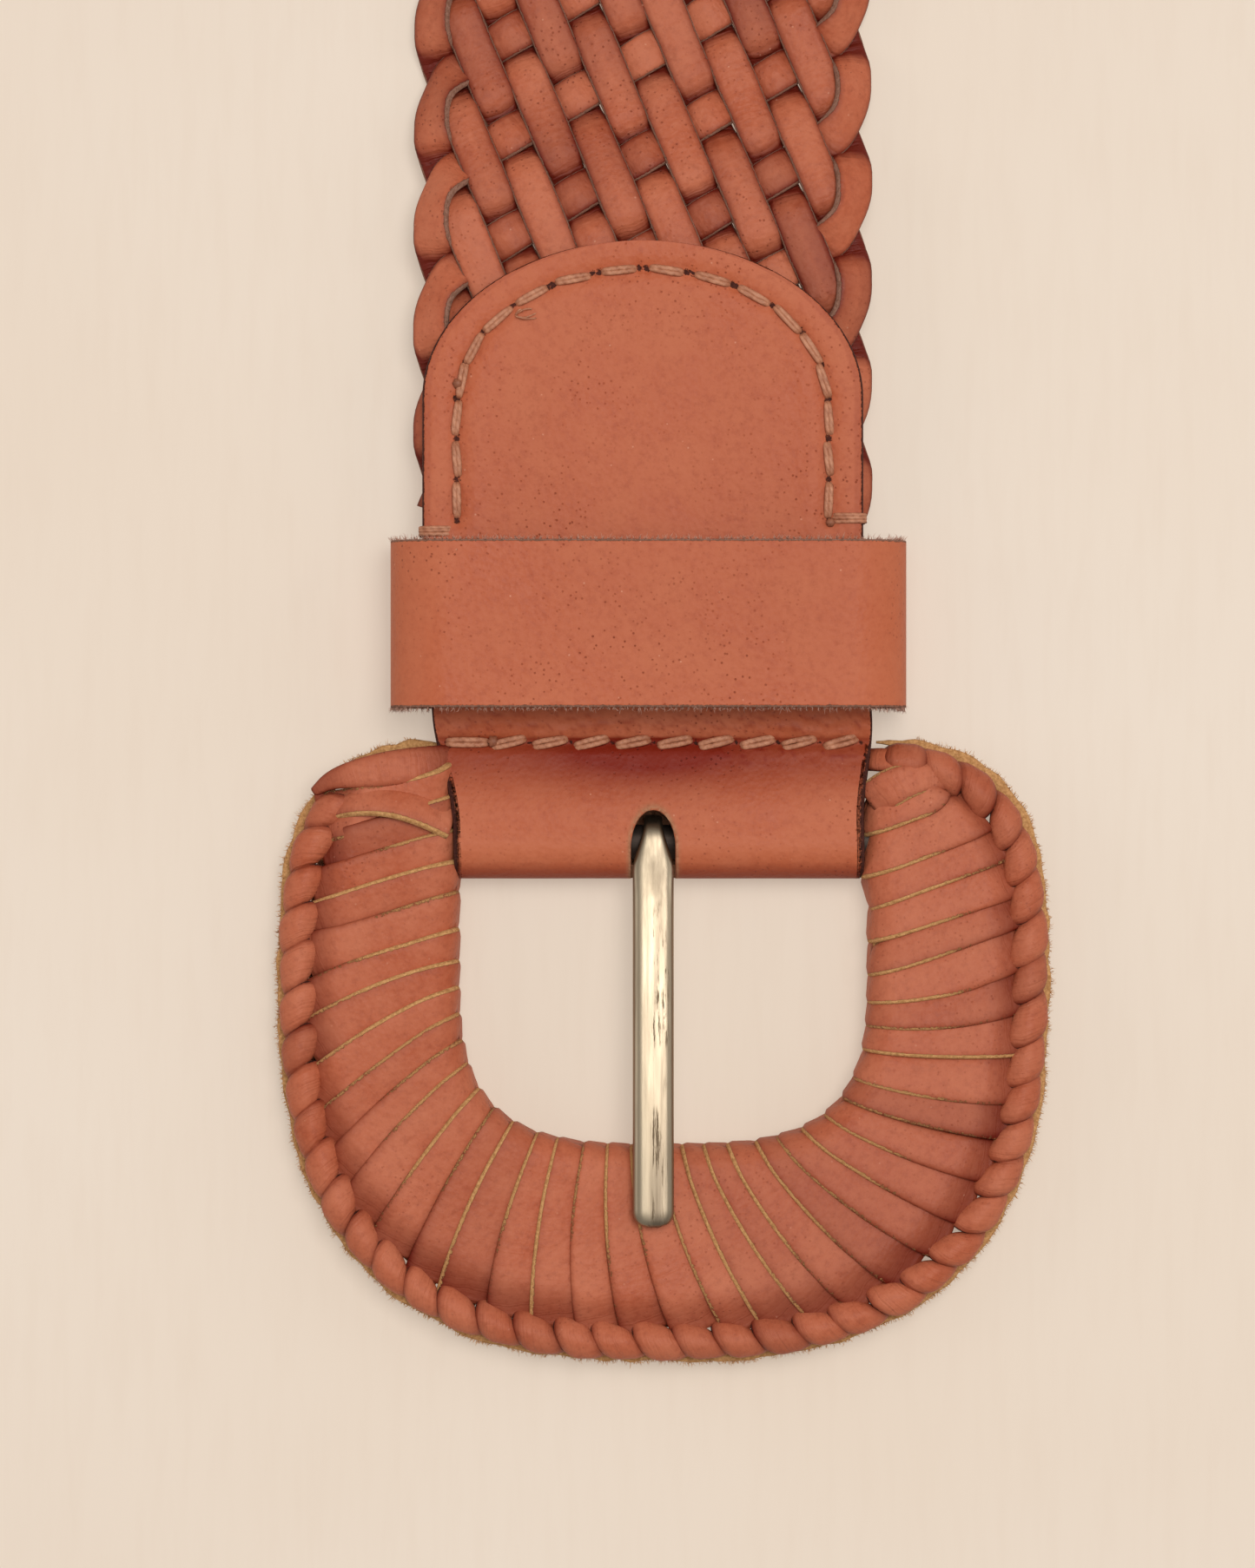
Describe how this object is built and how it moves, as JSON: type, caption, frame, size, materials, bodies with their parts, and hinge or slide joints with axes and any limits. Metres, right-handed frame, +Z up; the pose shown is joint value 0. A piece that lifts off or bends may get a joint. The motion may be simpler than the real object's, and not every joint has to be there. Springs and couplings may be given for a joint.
{
  "type": "leather belt",
  "caption": "Wide braided leather belt with a lace-wrapped D-shaped buckle, folded chape, sliding keeper loop and rolled-up strap.",
  "frame": {"origin": "on the surface the belt rests on, straight below the middle of the buckle's bar", "axes": "+X across the belt, +Y along the belt from the bar towards the roll, +Z up off the surface"},
  "size_m": [0.0888, 0.2556, 0.0758],
  "materials": {
    "grain_leather": "smooth cognac grain leather, satin",
    "lace_leather": "smooth cognac leather lace with a raw cut edge",
    "raw_leather": "undyed flesh side and cut edges",
    "sewing_thread": "doubled waxed thread, tan brown",
    "pale_gold": "polished pale gold plating with fine scratches",
    "plain_steel": "plain hidden steel"
  },
  "bodies": {
    "strap": {"chape": "grain_leather", "chape_filler": "raw_leather", "stitch_arch": "sewing_thread", "stitch_cross": "sewing_thread", "stitch_tacks": "sewing_thread", "braid_flat": "lace_leather"},
    "buckle": {"buckle_frame": "plain_steel", "buckle_bar": "plain_steel", "wrap_lace": "lace_leather", "edge_lace": "lace_leather"},
    "prong": {"prong": "pale_gold"},
    "keeper": {"keeper_loop": "grain_leather", "keeper_staples": "plain_steel"},
    "strap_roll": {"braid_roll": "lace_leather", "tip_outer": "grain_leather", "tip_inner": "grain_leather", "tip_stitch": "sewing_thread"}
  },
  "joints": [
    {"name": "buckle_swivel", "type": "hinge", "parent": "strap", "child": "buckle", "pos_m": [0, 0, 0.0042], "axis": [-1, 0, 0], "range_deg": [-45, 25]},
    {"name": "prong_swing", "type": "hinge", "parent": "buckle", "child": "prong", "pos_m": [-0.0012, 0, 0.0042], "axis": [-1, 0, 0], "range_deg": [0, 55]},
    {"name": "keeper_slide", "type": "slide", "parent": "strap", "child": "keeper", "axis": [0, 1, 0], "range_m": [-0.0015, 0.028]},
    {"name": "strap_flex", "type": "hinge", "parent": "strap", "child": "strap_roll", "pos_m": [0, 0.107, 0.0018], "axis": [1, 0, 0], "range_deg": [-25, 60]}
  ]
}
